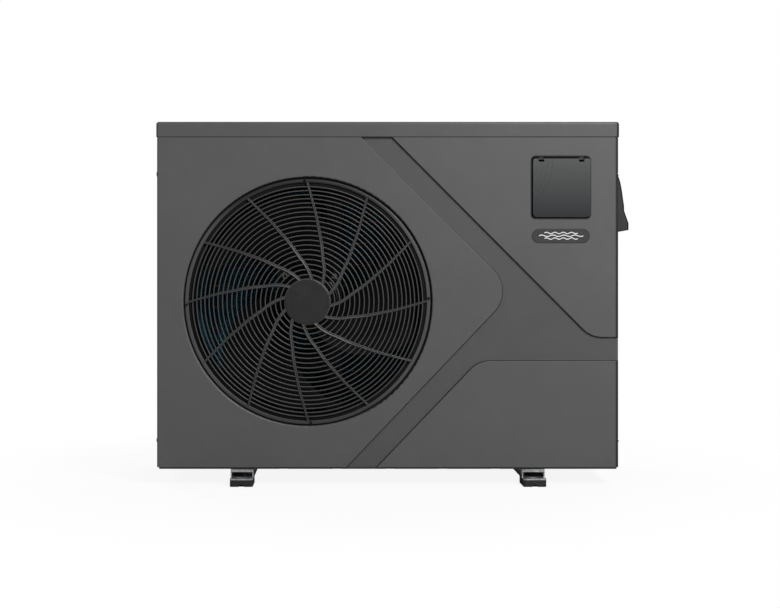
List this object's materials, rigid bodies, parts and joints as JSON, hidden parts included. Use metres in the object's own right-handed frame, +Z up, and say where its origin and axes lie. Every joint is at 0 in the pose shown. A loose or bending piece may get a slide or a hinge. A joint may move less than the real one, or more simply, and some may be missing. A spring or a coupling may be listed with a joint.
{
  "type": "pool heat pump",
  "caption": "Box-shaped air-source pool heat pump with a ringed round fan guard, embossed front, flip-up control cover, side hand grip and foot rails.",
  "frame": {"origin": "on the floor, at the centre of the four anchor slots in the feet", "axes": "+X to the right seen from the front, +Y from the fan side to the back, +Z up"},
  "size_m": [0.872, 0.3875, 0.654],
  "materials": {
    "casing_grey": "satin dark grey powder coat, fine texture",
    "guard_grey": "dark grey moulded guard",
    "hub_grey": "darker satin disc",
    "black_plastic": "black moulded plastic",
    "fan_black": "black glass-filled nylon",
    "fin_coat": "blue-green hydrophilic coating on thin fins",
    "galvanised": "galvanised sheet",
    "rubber": "black rubber",
    "smoke": "smoked glossy cover",
    "display": "dark display window",
    "button": "grey silicone keys",
    "badge": "dark plate with pale relief",
    "steel_bright": "zinc plated steel",
    "motor_black": "black painted motor",
    "compressor_black": "black enamel",
    "copper": "drawn copper",
    "brass": "machined brass",
    "pvc_grey": "grey pressure plastic",
    "pvc_white": "off-white pressure plastic",
    "titanium": "drawn titanium",
    "board": "green board with components",
    "aluminium": "extruded aluminium",
    "coil_red": "encapsulated coil"
  },
  "bodies": {
    "cabinet": {"base_pan": "casing_grey", "foot_rail_left": "galvanised", "foot_rail_right": "galvanised", "rubber_pads": "rubber", "front_panel": "casing_grey", "top_cover": "casing_grey", "right_panel": "casing_grey", "rear_panel": "casing_grey", "left_coil_guard": "guard_grey", "rear_coil_guard": "guard_grey", "fan_guard": "guard_grey", "guard_hub_plate": "hub_grey", "guard_screws": "steel_bright", "fan_shroud": "black_plastic", "fan_motor": "motor_black", "motor_bracket": "galvanised", "mounting_nuts": "steel_bright", "evaporator_fins": "fin_coat", "evaporator_tubes": "copper", "evaporator_end_plates": "galvanised", "partition_panel": "galvanised", "compressor": "compressor_black", "compressor_mounts": "rubber", "accumulator": "compressor_black", "exchanger_shell": "pvc_grey", "titanium_coil": "titanium", "water_inlet_pipe": "pvc_grey", "water_outlet_pipe": "pvc_grey", "union_tails": "pvc_white", "union_o_rings": "rubber", "flow_switch": "black_plastic", "four_way_valve": "brass", "valve_coil": "coil_red", "filter_drier": "copper", "expansion_valve": "brass", "gas_pipes": "copper", "liquid_pipes": "copper", "electrical_box": "galvanised", "electrical_cover": "galvanised", "control_board": "board", "heat_sink": "aluminium", "controller_housing": "black_plastic", "display_panel": "display", "door_pin": "steel_bright", "badge": "badge", "side_handle": "casing_grey", "cable_gland": "black_plastic", "drain_spout": "black_plastic", "cabinet_screws": "steel_bright"},
    "fan_rotor": {"fan_impeller": "fan_black", "fan_shaft": "steel_bright", "fan_nut": "steel_bright"},
    "door": {"control_door": "smoke"},
    "key_power": {"button_power": "button"},
    "key_mode": {"button_mode": "button"},
    "key_down": {"button_down": "button"},
    "key_up": {"button_up": "button"},
    "inlet_nut": {"inlet_union_nut": "pvc_grey"},
    "outlet_nut": {"outlet_union_nut": "pvc_grey"},
    "paddle": {"flow_paddle": "steel_bright"}
  },
  "joints": [
    {"name": "fan_spin", "type": "hinge", "parent": "cabinet", "child": "fan_rotor", "pos_m": [-0.144, -0.1, 0.33], "axis": [0, 1, 0], "continuous": true},
    {"name": "door_flip", "type": "hinge", "parent": "cabinet", "child": "door", "pos_m": [0.313, -0.1515, 0.5862], "axis": [-1, 0, 0], "range_deg": [0, 105]},
    {"name": "press_power", "type": "slide", "parent": "cabinet", "child": "key_power", "axis": [0, 1, 0], "range_m": [0, 0.001], "stiffness_N_per_m": 800},
    {"name": "press_mode", "type": "slide", "parent": "cabinet", "child": "key_mode", "axis": [0, 1, 0], "range_m": [0, 0.001], "stiffness_N_per_m": 800},
    {"name": "press_down", "type": "slide", "parent": "cabinet", "child": "key_down", "axis": [0, 1, 0], "range_m": [0, 0.001], "stiffness_N_per_m": 800},
    {"name": "press_up", "type": "slide", "parent": "cabinet", "child": "key_up", "axis": [0, 1, 0], "range_m": [0, 0.001], "stiffness_N_per_m": 800},
    {"name": "inlet_nut_turn", "type": "hinge", "parent": "cabinet", "child": "inlet_nut", "pos_m": [0.225, 0.17, 0.12], "axis": [0, 1, 0], "continuous": true},
    {"name": "outlet_nut_turn", "type": "hinge", "parent": "cabinet", "child": "outlet_nut", "pos_m": [0.225, 0.17, 0.43], "axis": [0, 1, 0], "continuous": true},
    {"name": "paddle_swing", "type": "hinge", "parent": "cabinet", "child": "paddle", "pos_m": [0.225, 0.112, 0.458], "axis": [1, 0, 0], "range_deg": [0, 18]}
  ]
}
